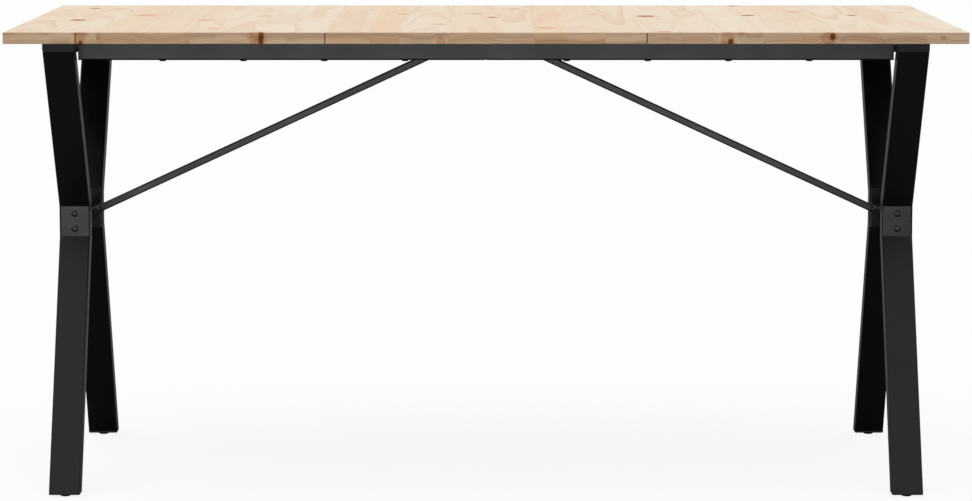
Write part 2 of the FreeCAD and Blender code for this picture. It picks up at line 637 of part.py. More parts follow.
def crossbar_bolts():
    length = CROSSBAR_PLATE + RAIL_WALL + SLEEVE_WALL + BOLT_END_ROOM
    seat = RAIL_INNER_FACE - CROSSBAR_PLATE
    return [stand(bolt(M6, length), FreeCAD.Vector(x, side * seat, z), ALONG_Y * -side)
            for side in (-1, 1) for x, z in crossbar_bolt_places((-1, 1))]


# Whole table

def at_end(shape, sign):
    """Shape centred on X = 0 with its inner face at +X, set at the left (-1) or right (+1) end frame."""
    placed = shape.copy()
    placed.translate(ALONG_X * -FRAME_MIDDLE)
    return mirrored(placed, ALONG_X) if sign > 0 else placed


def at_foot(shape, front, sign):
    """Shape of a front leg, centred on X = 0, set at one of the four corners."""
    placed = at_end(shape, sign)
    return placed if front else mirrored(placed, ALONG_Y)


def build():
    pieces = {}
    for index, place in enumerate(PANEL_PLACES):
        pieces[f"tabletop_panel_{place}"] = [tabletop_panel(index)]
    pieces["seam_dowels"] = seam_dowels()

    leg, plug, pad, stud = front_leg(), leg_end_plug(), glide_pad(), glide_stud()
    for foot in (pad, stud):
        foot.translate(ALONG_Y * FOOT_Y)
    for row, front in (("front", True), ("rear", False)):
        for end, sign in (("left", -1), ("right", 1)):
            corner = f"{row}_{end}"
            pieces[f"{corner}_leg"] = [at_foot(leg, front, sign)]
            pieces[f"{corner}_leg_end_plug"] = [at_foot(plug, front, sign)]
            pieces[f"{corner}_glide_pad"] = [at_foot(pad, front, sign)]
            pieces[f"{corner}_glide_stud"] = [at_foot(stud, front, sign)]

    bar, cap, bridge, brace = top_bar(), top_bar_end_cap(), right_waist_bridge(), right_brace()
    caps = []
    for end, sign in (("left", -1), ("right", 1)):
        pieces[f"{end}_top_bar"] = [at_end(bar, sign)]
        caps += [at_foot(cap, front, sign) for front in (True, False)]
        pieces[f"{end}_waist_bridge"] = [bridge if sign > 0 else mirrored(bridge, ALONG_X)]
        pieces[f"{end}_brace"] = [brace if sign > 0 else mirrored(brace, ALONG_X)]
    pieces["top_bar_end_caps"] = caps

    rail, sleeve = front_rail_right(), front_rail_sleeve()
    for row, front in (("front", True), ("rear", False)):
        right = rail if front else mirrored(rail, ALONG_Y)
        pieces[f"{row}_rail_right"] = [right]
        pieces[f"{row}_rail_left"] = [mirrored(right, ALONG_X)]
        pieces[f"{row}_rail_sleeve"] = [sleeve if front else mirrored(sleeve, ALONG_Y)]
        pieces[f"{row}_rail_screws"] = tabletop_screws(RAIL_SCREWS[-1 if front else 1])
    pieces["centre_crossbar"] = [centre_crossbar()]

    pieces["waist_bolts"] = waist_bolts()
    pieces["leg_top_bolts"] = leg_top_bolts()
    pieces["rail_end_bolts"] = rail_end_bolts()
    pieces["crossbar_bolts"] = crossbar_bolts()
    pieces["brace_bolts"] = brace_bolts()
    pieces["brace_nuts"] = brace_nuts()
    pieces["top_bar_screws"] = tabletop_screws(BAR_SCREWS)
    pieces["crossbar_screws"] = tabletop_screws(CROSSBAR_SCREWS)
    return pieces


def main():
    os.makedirs("parts", exist_ok=True)
    for node, solids in build().items():
        shape = solids[0] if len(solids) == 1 else Part.makeCompound(solids)
        shape.exportStep(f"parts/{node}.step")


main()
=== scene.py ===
# %% [markdown]
# This lesson dresses an industrial dining table: a pine top in three panels on a bolted frame of
# black steel tube. Every piece could be modelled here again, but CAD already holds each one at its
# real size and place, so that model is loaded as a fixed frame. The script adds what CAD leaves
# out: the finish of every surface, the glued staves of the top, and the recesses and threads of the
# fasteners. The box of the CAD model is kept, to tell the panels' seams from the table's own ends.

# %% Load the frame
import json
import math
import random

import bmesh
import bpy
from mathutils import Matrix, Vector


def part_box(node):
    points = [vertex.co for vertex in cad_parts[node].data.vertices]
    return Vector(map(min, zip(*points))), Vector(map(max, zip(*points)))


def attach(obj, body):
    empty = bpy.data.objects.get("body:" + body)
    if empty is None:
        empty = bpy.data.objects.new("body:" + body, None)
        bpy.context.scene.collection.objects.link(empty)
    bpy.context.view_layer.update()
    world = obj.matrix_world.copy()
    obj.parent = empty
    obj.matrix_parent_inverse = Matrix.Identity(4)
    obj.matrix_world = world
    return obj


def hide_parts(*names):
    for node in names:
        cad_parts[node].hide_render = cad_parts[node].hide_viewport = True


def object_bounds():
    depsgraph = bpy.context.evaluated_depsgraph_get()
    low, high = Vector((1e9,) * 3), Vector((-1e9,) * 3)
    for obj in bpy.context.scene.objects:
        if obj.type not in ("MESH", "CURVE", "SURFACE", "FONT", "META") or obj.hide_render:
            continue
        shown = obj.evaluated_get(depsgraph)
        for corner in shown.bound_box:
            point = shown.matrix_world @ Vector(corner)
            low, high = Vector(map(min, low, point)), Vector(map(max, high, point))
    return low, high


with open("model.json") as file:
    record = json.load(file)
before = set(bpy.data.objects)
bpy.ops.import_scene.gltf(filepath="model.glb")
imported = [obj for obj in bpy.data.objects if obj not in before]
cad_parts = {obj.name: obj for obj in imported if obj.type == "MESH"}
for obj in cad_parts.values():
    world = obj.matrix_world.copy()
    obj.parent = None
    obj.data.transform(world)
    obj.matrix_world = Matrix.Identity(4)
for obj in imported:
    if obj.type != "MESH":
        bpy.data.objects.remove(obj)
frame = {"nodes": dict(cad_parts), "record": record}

CAD_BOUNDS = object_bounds()
NODES = frame["nodes"]

# %% [markdown]
# Blender works in metres and a maker thinks in millimetres. The sizes below could be fractions of a
# metre, but a tube of 0.05 by 0.03 is hard to picture, so they are all written in millimetres. One
# helper turns them into metres, and the other turns a length that was read from the model back into
# millimetres.

# %% Units
MM_PER_METRE = 1000


def mm(value):
    """Millimetres as Blender's metres."""
    return value / MM_PER_METRE


def in_mm(metres):
    """Blender's metres as millimetres."""
    return metres * MM_PER_METRE


print("the table measures", [round(in_mm(side)) for side in CAD_BOUNDS[1] - CAD_BOUNDS[0]], "mm")

# %% [markdown]
# The photograph was taken from in front of the table, a little above its top, from far away with a
# long lens. A camera could be placed by eye, but the table's known size gives it away: the same
# corners were found in the photograph and on the model, and the position, tilt and focal length
# below make them agree. The tilt does what a shifted lens does in the photograph, and it keeps the
# table in the middle of every other view. An unturned camera looks straight down, so it is first
# turned up to level and then tilted.

# %% Camera
CAMERA_DISTANCE = 5983
CAMERA_HEIGHT = 1084.5
CAMERA_TILT_DEGREES = 6.895
LEVEL_DEGREES = 90
FOCAL_PIXELS = 3600
IMAGE_WIDTH_PIXELS = 972
SENSOR_WIDTH = 36
CLIP_DISTANCE = 200000


def place_in_scene(name, data):
    """A new object that holds this camera, lamp or mesh."""
    thing = bpy.data.objects.new(name, data)
    bpy.context.scene.collection.objects.link(thing)
    return thing


camera_data = bpy.data.cameras.new("product_camera")
camera_data.sensor_width = SENSOR_WIDTH
camera_data.lens = FOCAL_PIXELS / IMAGE_WIDTH_PIXELS * SENSOR_WIDTH
camera_data.clip_end = mm(CLIP_DISTANCE)
camera = place_in_scene("product_camera", camera_data)
camera.location = (0, -mm(CAMERA_DISTANCE), mm(CAMERA_HEIGHT))
camera.rotation_euler = (math.radians(LEVEL_DEGREES - CAMERA_TILT_DEGREES), 0, 0)
bpy.context.scene.camera = camera
bpy.context.scene.view_settings.view_transform = "Standard"
print("camera lens", round(camera_data.lens, 1), "mm")

# %% [markdown]
# Light and finishes are networks of shader nodes. They could be drawn by hand in the shader editor,
# but a script can be read and repeated. One small helper adds any node with its settings and links,
# and everything below is built with it. Colours are written in sRGB, as a screen shows them, while
# shaders count in linear light, so one function turns the first into the second by the constants of
# the sRGB standard.


# %% Colours and shader nodes
def colour(hex_code):
    """An sRGB hex colour as the linear colour that a shader socket takes."""
    channels = [int(hex_code[i:i + 2], 16) / 255 for i in (1, 3, 5)]
    linear = [c / 12.92 if c <= 0.04045 else ((c + 0.055) / 1.055) ** 2.4 for c in channels]
    return (*linear, 1.0)


def add(tree, kind, inputs=None, stops=(), **settings):
    """Add a shader node with its settings, its inputs and the stops of its colour ramp.

    kind is the node's type name without the ShaderNode in front. A socket takes a number, a colour,
    another node's output, or a whole node, which gives its first live output.
    """
    node = tree.nodes.new("ShaderNode" + kind)
    for name, value in settings.items():
        setattr(node, name, value)
    for socket, value in (inputs or {}).items():
        if isinstance(value, bpy.types.Node):
            value = next(output for output in value.outputs if output.enabled)
        if isinstance(value, bpy.types.NodeSocket):
            tree.links.new(value, node.inputs[socket])
        else:
            node.inputs[socket].default_value = value
    for index, (place, value) in enumerate(stops):
        ramp = node.color_ramp.elements
        stop = ramp[index] if index < len(ramp) else ramp.new(place)
        stop.position = place
        stop.color = value
    return node


print("mid grey on screen is", round(colour("#808080")[0], 3), "in linear light")

# %% [markdown]
# The studio is white on all sides. Its walls could be modelled, but from inside they look like a
# plain sky, and a sky costs nothing. Black steel shows its shape by what it mirrors, so mirrors,
# glass and the camera see the sky at full white, while it lights the table with about half of that
# and leaves the rest to the lamps.

# %% White sky
SKY_SHARE = 0.48


def rays(tree, *kinds):
    """1 for rays of these kinds and 0 for the rest."""
    path = add(tree, "LightPath").outputs
    found = path[kinds[0]]
    for kind in kinds[1:]:
        found = add(tree, "Math", {0: found, 1: path[kind]}, operation="MAXIMUM")
    return found


world = bpy.data.worlds.new("white_sky")
world.use_nodes = True
sky = world.node_tree
sky.nodes.clear()
seen = rays(sky, "Is Camera Ray", "Is Glossy Ray", "Is Transmission Ray")
strength = add(sky, "MapRange", {"Value": seen, "To Min": SKY_SHARE, "To Max": 1.0})
white = add(sky, "Background", {"Color": colour("#ffffff"), "Strength": strength})
add(sky, "OutputWorld", {"Surface": white})
bpy.context.scene.world = world
print("white sky:", len(sky.nodes), "nodes")

# %% [markdown]
# Product studios hang one huge softbox overhead. A large area lamp could stand for it, but it would
# light the near floor more than the far floor. A sun with a wide disc lights both alike and gives
# shadows as soft.

# %% Overhead softbox
SUN_SHARE = 0.5
SUN_DISC_DEGREES = 60
SUN_TURN_DEGREES = (10, -6, 0)

sun_data = bpy.data.lights.new("overhead_softbox", "SUN")
sun_data.energy = SUN_SHARE * math.pi
sun_data.angle = math.radians(SUN_DISC_DEGREES)
sun = place_in_scene("overhead_softbox", sun_data)
sun.rotation_euler = [math.radians(degrees) for degrees in SUN_TURN_DEGREES]
print("overhead softbox", round(sun_data.energy, 2), "W per square metre")

# %% [markdown]
# The lower legs lean back and mirror the sky, and the upper legs lean forward and mirror the floor.
# The rails and the waists stand upright and mirror what stands in front of them. They could be
# painted lighter, but then they would be grey from every side, so a low softbox in front, a little
# to the left, is there for them to mirror. It doesn't show itself to the camera.

# %% Low front softbox
SOFTBOX_WIDTH = 2500
SOFTBOX_HEIGHT = 540
SOFTBOX_PLACE = (-180, -2900, 275)
SOFTBOX_RADIANCE = 7.2

lamp = bpy.data.lights.new("low_front_softbox", "AREA")
lamp.shape = "RECTANGLE"
lamp.size = mm(SOFTBOX_WIDTH)
lamp.size_y = mm(SOFTBOX_HEIGHT)
lamp.energy = SOFTBOX_RADIANCE * math.pi * lamp.size * lamp.size_y
softbox = place_in_scene("low_front_softbox", lamp)
softbox.location = [mm(value) for value in SOFTBOX_PLACE]
softbox.rotation_euler = (math.radians(LEVEL_DEGREES), 0, 0)
softbox.visible_camera = False
print("low front softbox", round(lamp.energy), "W")

# %% [markdown]
# The table stands on a roll of white paper. A curved backdrop could join the floor to a wall, but a
# flat sheet that is large enough meets the white sky without a visible line.

# %% Studio floor
FLOOR_SIZE = 80000

shape = bmesh.new()
bmesh.ops.create_grid(shape, x_segments=1, y_segments=1, size=mm(FLOOR_SIZE) / 2)
floor_mesh = bpy.data.meshes.new("studio_floor")
shape.to_mesh(floor_mesh)
shape.free()
floor = place_in_scene("studio_floor", floor_mesh)
print("floor", round(floor.dimensions.x), "m wide")

# %% [markdown]
# Paper gives the eye a matt white. More light would whiten it in the picture, but it would wash out
# the table too, so the camera sees a share of plain white added to the lit paper, which keeps the
# table's shadow faint and soft. To bounced and mirrored light the same floor is grey, and that
# keeps the upper legs as black as they are.

# %% White studio paper
PAPER_WHITE_SHARE = 0.88
PAPER_SEEN = "#f6f6f6"
PAPER_MIRRORED = "#808080"
PAPER_BOUNCED = "#404040"


def new_material(name):
    """A material with an empty node tree."""
    material = bpy.data.materials.new(name)
    material.use_nodes = True
    material.node_tree.nodes.clear()
    return material, material.node_tree


paper, tree = new_material("white_studio_paper")
seen = rays(tree, "Is Camera Ray", "Is Transmission Ray")
mirrored = rays(tree, "Is Glossy Ray")
unseen = add(tree, "Mix", {
    "Factor": mirrored, "A": colour(PAPER_BOUNCED), "B": colour(PAPER_MIRRORED)}, data_type="RGBA")
tint = add(tree, "Mix", {"Factor": seen, "A": unseen, "B": colour(PAPER_SEEN)}, data_type="RGBA")
matt = add(tree, "BsdfDiffuse", {"Color": tint})
white = add(tree, "Emission", {"Color": colour("#ffffff"), "Strength": 1.0})
share = add(tree, "Math", {0: seen, 1: PAPER_WHITE_SHARE}, operation="MULTIPLY")
mixed = add(tree, "MixShader", {0: share, 1: matt, 2: white})
add(tree, "OutputMaterial", {"Surface": mixed})
floor_mesh.materials.append(paper)
print(paper.name, "with", len(tree.nodes), "shader nodes")

# %% [markdown]
# The tubes are powder coated: ground plastic is sprayed on dry and melted into a skin. It gives the
# eye a deep black with a low satin gloss and a faint orange-peel ripple. One flat black could do,
# but it would look like a cut-out, so a cloudy noise varies the gloss and a finer one ripples the
# surface. The real ripple is about a millimetre wide, which hardly shows at this distance, so it is
# drawn a little coarser. Each finish is kept under the name of its material slot in the record.

# %% Black powder coat
COAT_RIPPLE = 1.6
COAT_RIPPLE_DEPTH = 0.05
COAT_CLOUD = 60
COAT_ROUGHNESS = (0.27, 0.34)
COAT_DARK = "#080808"
COAT_LIGHT = "#0b0b0b"
NOISE_LOW = 0.3
NOISE_HIGH = 0.7
FINISHES = {}


def millimetres(tree):
    """Place on the piece in millimetres."""
    place = add(tree, "TexCoord").outputs["Object"]
    return add(tree, "VectorMath", {0: place, "Scale": MM_PER_METRE}, operation="SCALE")


def keep_finish(slot, material):
    """Keep a finish for the pieces of this material slot."""
    FINISHES[slot] = material
    print(slot, "is", material.name, "with", len(material.node_tree.nodes), "shader nodes")


def powder_coat():
    """Deep black with a low satin gloss and a faint orange-peel ripple."""
    material, tree = new_material("black_powder_coat_on_steel")
    place = millimetres(tree)
    ripple = add(tree, "TexNoise", {"Vector": place, "Scale": 1 / COAT_RIPPLE, "Detail": 2.0})
    cloud = add(tree, "TexNoise", {"Vector": place, "Scale": 1 / COAT_CLOUD, "Detail": 3.0})
    rough = add(tree, "MapRange", {
        "Value": cloud, "From Min": NOISE_LOW, "From Max": NOISE_HIGH,
        "To Min": COAT_ROUGHNESS[0], "To Max": COAT_ROUGHNESS[1]})
    tint = add(tree, "ValToRGB", {"Fac": cloud}, [
        (NOISE_LOW, colour(COAT_DARK)), (NOISE_HIGH, colour(COAT_LIGHT))])
    bump = add(tree, "Bump", {
        "Height": ripple, "Strength": 0.12, "Distance": mm(COAT_RIPPLE_DEPTH)})
    coat = add(tree, "BsdfPrincipled", {
        "Base Color": tint, "Roughness": rough, "Normal": bump,
        "IOR": 1.5, "Specular IOR Level": 0.22})
    add(tree, "OutputMaterial", {"Surface": coat})
    return material


keep_finish("black_powder_coat", powder_coat())

# %% [markdown]
# The end plugs, the end caps and the glides are moulded polyethylene. Mould steel is spark eroded,
# so the parts come out with an even, finely pitted skin that is duller and a shade lighter in the
# highlights than the paint. Noise could roughen it, but spark marks are small round craters, and
# Voronoi cells have that shape. Real pits are a few tenths of a millimetre wide and wouldn't show,
# so they are drawn coarser.

# %% Black polyethylene
MOULD_PIT = 0.9
MOULD_PIT_DEPTH = 0.04
PLASTIC_CLOUD = 12
PLASTIC_ROUGHNESS = (0.5, 0.66)
PLASTIC_DARK = "#101010"
PLASTIC_LIGHT = "#171717"


def polyethylene():
    """Dull, slightly greyish black with a finely pitted skin."""
    material, tree = new_material("black_moulded_polyethylene")
    place = millimetres(tree)
    pits = add(tree, "TexVoronoi", {"Vector": place, "Scale": 1 / MOULD_PIT})
    cloud = add(tree, "TexNoise", {"Vector": place, "Scale": 1 / PLASTIC_CLOUD, "Detail": 3.0})
    rough = add(tree, "MapRange", {
        "Value": cloud, "To Min": PLASTIC_ROUGHNESS[0], "To Max": PLASTIC_ROUGHNESS[1]})
    tint = add(tree, "ValToRGB", {"Fac": cloud}, [
        (0.35, colour(PLASTIC_DARK)), (0.65, colour(PLASTIC_LIGHT))])
    bump = add(tree, "Bump", {"Height": pits, "Strength": 0.15, "Distance": mm(MOULD_PIT_DEPTH)})
    plastic = add(tree, "BsdfPrincipled", {
        "Base Color": tint, "Roughness": rough, "Normal": bump,
        "IOR": 1.51, "Specular IOR Level": 0.25})
    add(tree, "OutputMaterial", {"Surface": plastic})
    return material


keep_finish("black_polyethylene", polyethylene())

# %% [markdown]
# The bolts and screws are black-oxide steel: the steel itself turned black in a hot bath and oiled.
# It stays a metal, so its highlights are grey, and stronger and broader than those of the paint
# beside it. The glide studs are zinc plated, a bright bluish grey with a faint crystalline mottle.
# They could be two materials from scratch, but both are steel under a thin crystalline layer, so
# one function makes both with their own colours and gloss. Real crystals are too fine to see from
# here, so they are drawn coarser.

# %% Fastener finishes
PLATING_GRAIN = 1.5


def plated_steel(name, dark, light, dull, bright):
    """Metal whose mottle runs from a dark and dull tone to a light and bright one."""
    material, tree = new_material(name)
    grain = add(tree, "TexNoise", {
        "Vector": millimetres(tree), "Scale": 1 / PLATING_GRAIN, "Detail": 4.0})
    tint = add(tree, "ValToRGB", {"Fac": grain}, [(0.35, colour(dark)), (0.65, colour(light))])
    rough = add(tree, "MapRange", {"Value": grain, "To Min": dull, "To Max": bright})
    steel = add(tree, "BsdfPrincipled", {"Base Color": tint, "Metallic": 1.0, "Roughness": rough})
    add(tree, "OutputMaterial", {"Surface": steel})
    return material


black_oxide = plated_steel("oiled_black_oxide_steel", "#333335", "#3d3d3f", 0.5, 0.42)
bright_zinc = plated_steel("bright_zinc_plated_steel", "#9ba1a8", "#c3c8cd", 0.34, 0.26)
keep_finish("black_oxide_steel", black_oxide)
keep_finish("zinc_plated_steel", bright_zinc)

# %% [markdown]
# The dowels in the seams are raw beech: a plain, even wood whose rays show as short darker flecks
# along the grain, which runs the length of each dowel. Even noise would look like cork, so it is
# stretched along the dowel.

# %% Raw beech
BEECH_FLECK_SPAN = (4, 0.7, 0.7)
BEECH_FLECK_DEPTH = 0.05
BEECH_FLECK = "#b98d60"
BEECH = "#d5b083"


def blotches(tree, place, span):
    """A cloudy pattern whose blotches are about this many millimetres along X, Y and Z."""
    shrunk = add(tree, "VectorMath", {0: place, 1: [1 / size for size in span]},
                 operation="MULTIPLY")
    return add(tree, "TexNoise", {"Vector": shrunk, "Scale": 1.0, "Detail": 3.0})


def beech():
    """Even, pinkish brown and matt, with short darker flecks along the grain."""
    material, tree = new_material("turned_raw_beech")
    fleck = blotches(tree, millimetres(tree), BEECH_FLECK_SPAN)
    tint = add(tree, "ValToRGB", {"Fac": fleck}, [
        (0.35, colour(BEECH_FLECK)), (0.6, colour(BEECH))])
    bump = add(tree, "Bump", {"Height": fleck, "Strength": 0.2, "Distance": mm(BEECH_FLECK_DEPTH)})
    wood = add(tree, "BsdfPrincipled", {
        "Base Color": tint, "Roughness": 0.72, "Normal": bump, "Specular IOR Level": 0.25})
    add(tree, "OutputMaterial", {"Surface": wood})
    return material


keep_finish("raw_beech", beech())

# %% [markdown]
# Pine is a bundle of growth rings: pale, soft spring wood that darkens over each year to a narrow,
# hard, orange line, then starts pale again. A picture of wood could be laid on each face, but its
# lines wouldn't meet at the edges. A board is cut from a log, so this step measures how far each
# point is from the log's heart, and from that in which year it grew. The same rule then draws long
# grain on the top and flat arcs on the end grain. Each stave has its own log, and its faces store
# where that log's heart runs: its place across the table, its height at the middle, and how much it
# climbs per millimetre towards the rear. Rings waver along the log and are pushed aside by knots.
# The real rings are about 3 mm wide, which is under two pixels here, so they are drawn coarser.

# %% Growth rings
RING_WIDTH = 4.2
RING_WAVER = 9.0
RING_WAVER_SPAN = (80, 450, 80)
KNOT_PUSH = 7.0
KNOT_PUSH_REACH = (0.8, 3.2)


def growth_years(tree, place, knot_reach):
    """The log's age in years when it grew each point."""
    stored = add(tree, "Attribute", attribute_name="heart").outputs["Vector"]
    heart = add(tree, "SeparateXYZ", {0: stored}).outputs
    at = add(tree, "SeparateXYZ", {0: place}).outputs
    level = add(tree, "Math", {0: at["Y"], 1: heart["Z"], 2: heart["Y"]}, operation="MULTIPLY_ADD")
    across = add(tree, "Math", {0: at["X"], 1: heart["X"]}, operation="SUBTRACT")
    above = add(tree, "Math", {0: at["Z"], 1: level}, operation="SUBTRACT")
    waver = blotches(tree, place, RING_WAVER_SPAN)
    sway = add(tree, "Math", {0: waver, 1: RING_WAVER, 2: -RING_WAVER / 2},
               operation="MULTIPLY_ADD")
    swayed = add(tree, "Math", {0: above, 1: sway}, operation="ADD")
    from_heart = add(tree, "CombineXYZ", {"X": across, "Z": swayed})
    radius = add(tree, "VectorMath", {0: from_heart}, operation="LENGTH")
    push = add(tree, "MapRange", {
        "Value": knot_reach, "From Min": KNOT_PUSH_REACH[0], "From Max": KNOT_PUSH_REACH[1],
        "To Min": KNOT_PUSH, "To Max": 0.0}, interpolation_type="SMOOTHSTEP")
    pushed = add(tree, "Math", {0: radius, 1: push}, operation="ADD")
    return add(tree, "Math", {0: pushed, 1: RING_WIDTH}, operation="DIVIDE")


print("a knot pushes the rings aside by", round(KNOT_PUSH / RING_WIDTH, 1), "years of growth")

# %% [markdown]
# A knot is a branch that the saw crossed, and it shows as an oval. Knots could be mesh pieces let
# into the board, but sanding leaves them flush, so they are only colour. This step measures how far
# each point is from the nearest knot, counted in that knot's own radii. The place is shaken a
# little first, so that no oval is perfect.

# %% Distance from the knots
KNOT_WOBBLE = 4.0
KNOT_WOBBLE_SPAN = 15
NOISE_MIDDLE = 0.5


def shaken(tree, place):
    """The place on the piece, moved a few millimetres one way or another."""
    wobble = blotches(tree, place, (KNOT_WOBBLE_SPAN,) * 3).outputs["Color"]
    centred = add(tree, "VectorMath", {0: wobble, 1: (NOISE_MIDDLE,) * 3},
                  operation="SUBTRACT")
    return add(tree, "VectorMath", {0: centred, 1: (KNOT_WOBBLE,) * 3, 2: place},
               operation="MULTIPLY_ADD")


def knot_distance(tree, place, knots):
    """Distance to the nearest of these knots, in that knot's own radii."""
    nearest = None
    for middle, radii in knots:
        local = add(tree, "Mapping", {"Vector": place, "Location": middle, "Scale": radii},
                    vector_type="TEXTURE")
        reach = add(tree, "VectorMath", {0: local}, operation="LENGTH")
        if nearest is not None:
            reach = add(tree, "Math", {0: nearest, 1: reach}, operation="MINIMUM")
        nearest = reach
    return nearest


print("an oval's edge wobbles by up to", KNOT_WOBBLE / 2, "mm")

# %% [markdown]
# Within a year pine turns from cream to orange-brown, and it starts pale again in spring. Every
# ring could be equally dark, but that would look ruled by a machine: some years leave a strong line
# and others hardly any. So a random number for each year sets how dark its line is. On the top the
# rings run almost flat to the surface and show faintly, and on the end grain they stand out.

# %% Strength of the rings
LATE_WOOD_SHARES = ((0.0, 0.0), (0.5, 0.12), (0.84, 1.0), (0.93, 1.0), (1.0, 0.05))
RING_DEPTH_ON_TOP = 0.2
RING_DEPTH_ON_END = 0.5
RING_VIGOUR = (0.3, 1.5)


def grey(level):
    """A plain level as the colour of a ramp's stop."""
    return (level, level, level, 1.0)


def late_wood(tree, years):
    """How much of each point is late wood: it rises slowly over the year and drops at its end."""
    season = add(tree, "Math", {0: years}, operation="FRACT")
    return add(tree, "ValToRGB", {"Fac": season}, [
        (when, grey(level)) for when, level in LATE_WOOD_SHARES])


def ring_strength(tree, years, late, end_grain):
    """How much of the late wood's colour each point takes."""
    depth = add(tree, "MapRange", {
        "Value": end_grain, "To Min": RING_DEPTH_ON_TOP, "To Max": RING_DEPTH_ON_END})
    year = add(tree, "Math", {0: years}, operation="FLOOR")
    luck = add(tree, "TexWhiteNoise", {"W": year}, noise_dimensions="1D")
    vigour = add(tree, "MapRange", {
        "Value": luck, "To Min": RING_VIGOUR[0], "To Max": RING_VIGOUR[1]})
    dark = add(tree, "Math", {0: depth, 1: vigour}, operation="MULTIPLY")
    return add(tree, "Math", {0: late, 1: dark}, operation="MULTIPLY")


print("the strongest year is", RING_VIGOUR[1] / RING_VIGOUR[0], "times as dark as the weakest")

# %% [markdown]
# Pine is never one colour. It could be a single cream under the rings, but no two staves are alike:
# each has its own tone from pale to orange, and pink blushes drift through it. So the colour is
# built up in layers: the stave's tone, the blush, the rings, and fine streaks along the fibres.

# %% Colour of pine
PALE_SPRING_WOOD = "#f2e7d5"
SPRING_WOOD = "#efdec8"
ORANGE_SPRING_WOOD = "#edd3b4"
BLUSH = "#edcfb7"
BLUSH_SPAN = (60, 260, 60)
BLUSH_SHARE = 0.55
LATE_WOOD = "#c99868"
STREAK_SHADE = (0.95, 1.03)


def plain_wood(tree, place, ring, fibre):
    """Colour of the wood between the knots."""
    tone = add(tree, "Attribute", attribute_name="tone").outputs["Fac"]
    spring = add(tree, "ValToRGB", {"Fac": tone}, [
        (0.0, colour(PALE_SPRING_WOOD)), (0.5, colour(SPRING_WOOD)),
        (1.0, colour(ORANGE_SPRING_WOOD))])
    blush = add(tree, "MapRange", {
        "Value": blotches(tree, place, BLUSH_SPAN), "From Min": 0.42, "From Max": 0.72,
        "To Max": BLUSH_SHARE})
    blushed = add(tree, "Mix", {"Factor": blush, "A": spring, "B": colour(BLUSH)},
                  data_type="RGBA")
    ringed = add(tree, "Mix", {"Factor": ring, "A": blushed, "B": colour(LATE_WOOD)},
                 data_type="RGBA")
    streak = add(tree, "MapRange", {
        "Value": fibre, "From Min": NOISE_LOW, "From Max": NOISE_HIGH,
        "To Min": STREAK_SHADE[0], "To Max": STREAK_SHADE[1]})
    return add(tree, "Mix", {"Factor": 1.0, "A": ringed, "B": streak}, data_type="RGBA",
               blend_type="MULTIPLY")


print("late wood in linear light", [round(channel, 2) for channel in colour(LATE_WOOD)[:3]])

# %% [markdown]
# A branch that was alive leaves a pale knot with soft rings of its own, grown into the wood round
# it. A dead branch leaves a dark, hard one with a reddish halo. One brown spot could stand for
# either, but close up a knot is a small target of light and dark rings, so each kind has a ramp of
# them from its heart outwards. Where the front edge cuts a dead branch along its heart, it is
# darker still.

# %% Colour of the knots
PALE_KNOT = "#c98e66"
PALE_KNOT_REACH = 2
PALE_KNOT_SHARES = (
    (0.0, 0.75), (0.16, 0.4), (0.3, 0.55), (0.38, 0.42), (0.47, 0.62), (0.55, 0.25), (0.85, 0.0))
DARK_KNOT_HALO = "#d59a78"
DARK_KNOT_RINGS = (
    (0.0, "#5a2408"), (0.25, "#8a4c20"), (0.4, "#6e3412"), (0.6, "#9c5e30"), (0.75, "#7e4218"),
    (0.88, "#a0623a"), (1.0, "#6a3014"))
DARK_KNOT_SHARE_ON_TOP = 0.82
DARK_KNOT_SHARE_ON_END = 0.97


def with_pale_knots(tree, wood, reach):
    """Lay the pale knots over the wood. Their ramp runs from the heart to some radii out."""
    along = add(tree, "Math", {0: reach, 1: 1 / PALE_KNOT_REACH}, operation="MULTIPLY")
    share = add(tree, "ValToRGB", {"Fac": along}, [
        (at, grey(level)) for at, level in PALE_KNOT_SHARES])
    return add(tree, "Mix", {"Factor": share, "A": wood, "B": colour(PALE_KNOT)}, data_type="RGBA")


def with_dark_knots(tree, wood, reach, end_grain):
    """Lay the dark knots and their halos over the wood."""
    halo = add(tree, "MapRange", {
        "Value": reach, "From Min": 0.95, "From Max": 1.9, "To Min": 0.5, "To Max": 0.0})
    haloed = add(tree, "Mix", {"Factor": halo, "A": wood, "B": colour(DARK_KNOT_HALO)},
                 data_type="RGBA")
    heartwood = add(tree, "MapRange", {
        "Value": end_grain, "To Min": DARK_KNOT_SHARE_ON_TOP, "To Max": DARK_KNOT_SHARE_ON_END})
    inside = add(tree, "MapRange", {
        "Value": reach, "From Min": 0.9, "From Max": 1.08, "To Min": heartwood, "To Max": 0.0})
    branch = add(tree, "ValToRGB", {"Fac": reach}, [
        (at, colour(code)) for at, code in DARK_KNOT_RINGS])
    return add(tree, "Mix", {"Factor": inside, "A": haloed, "B": branch}, data_type="RGBA")


print("a dark knot has", len(DARK_KNOT_RINGS), "tones and a pale one", len(PALE_KNOT_SHARES))

# %% [markdown]
# The front and rear edges show end grain, the cut ends of the fibres. They soak up lacquer and come
# out darker than the top, and they drift lighter and darker over a few years of growth. The edges
# could have a material of their own, but their eased corners would then show a hard line. So one
# material reads which way a face points and shades it by as much as it faces the front or the rear.

# %% End grain
END_GRAIN_DARK = "#c6b6a4"
END_GRAIN_LIGHT = "#dccebd"
RING_DRIFT_YEARS = 3


def end_grain_share(tree):
    """1 on the front and rear edges, 0 on the top, and between them on the eased corners."""
    normal = add(tree, "NewGeometry").outputs["Normal"]
    facing = add(tree, "SeparateXYZ", {0: normal}).outputs["Y"]
    return add(tree, "Math", {0: facing}, operation="ABSOLUTE")


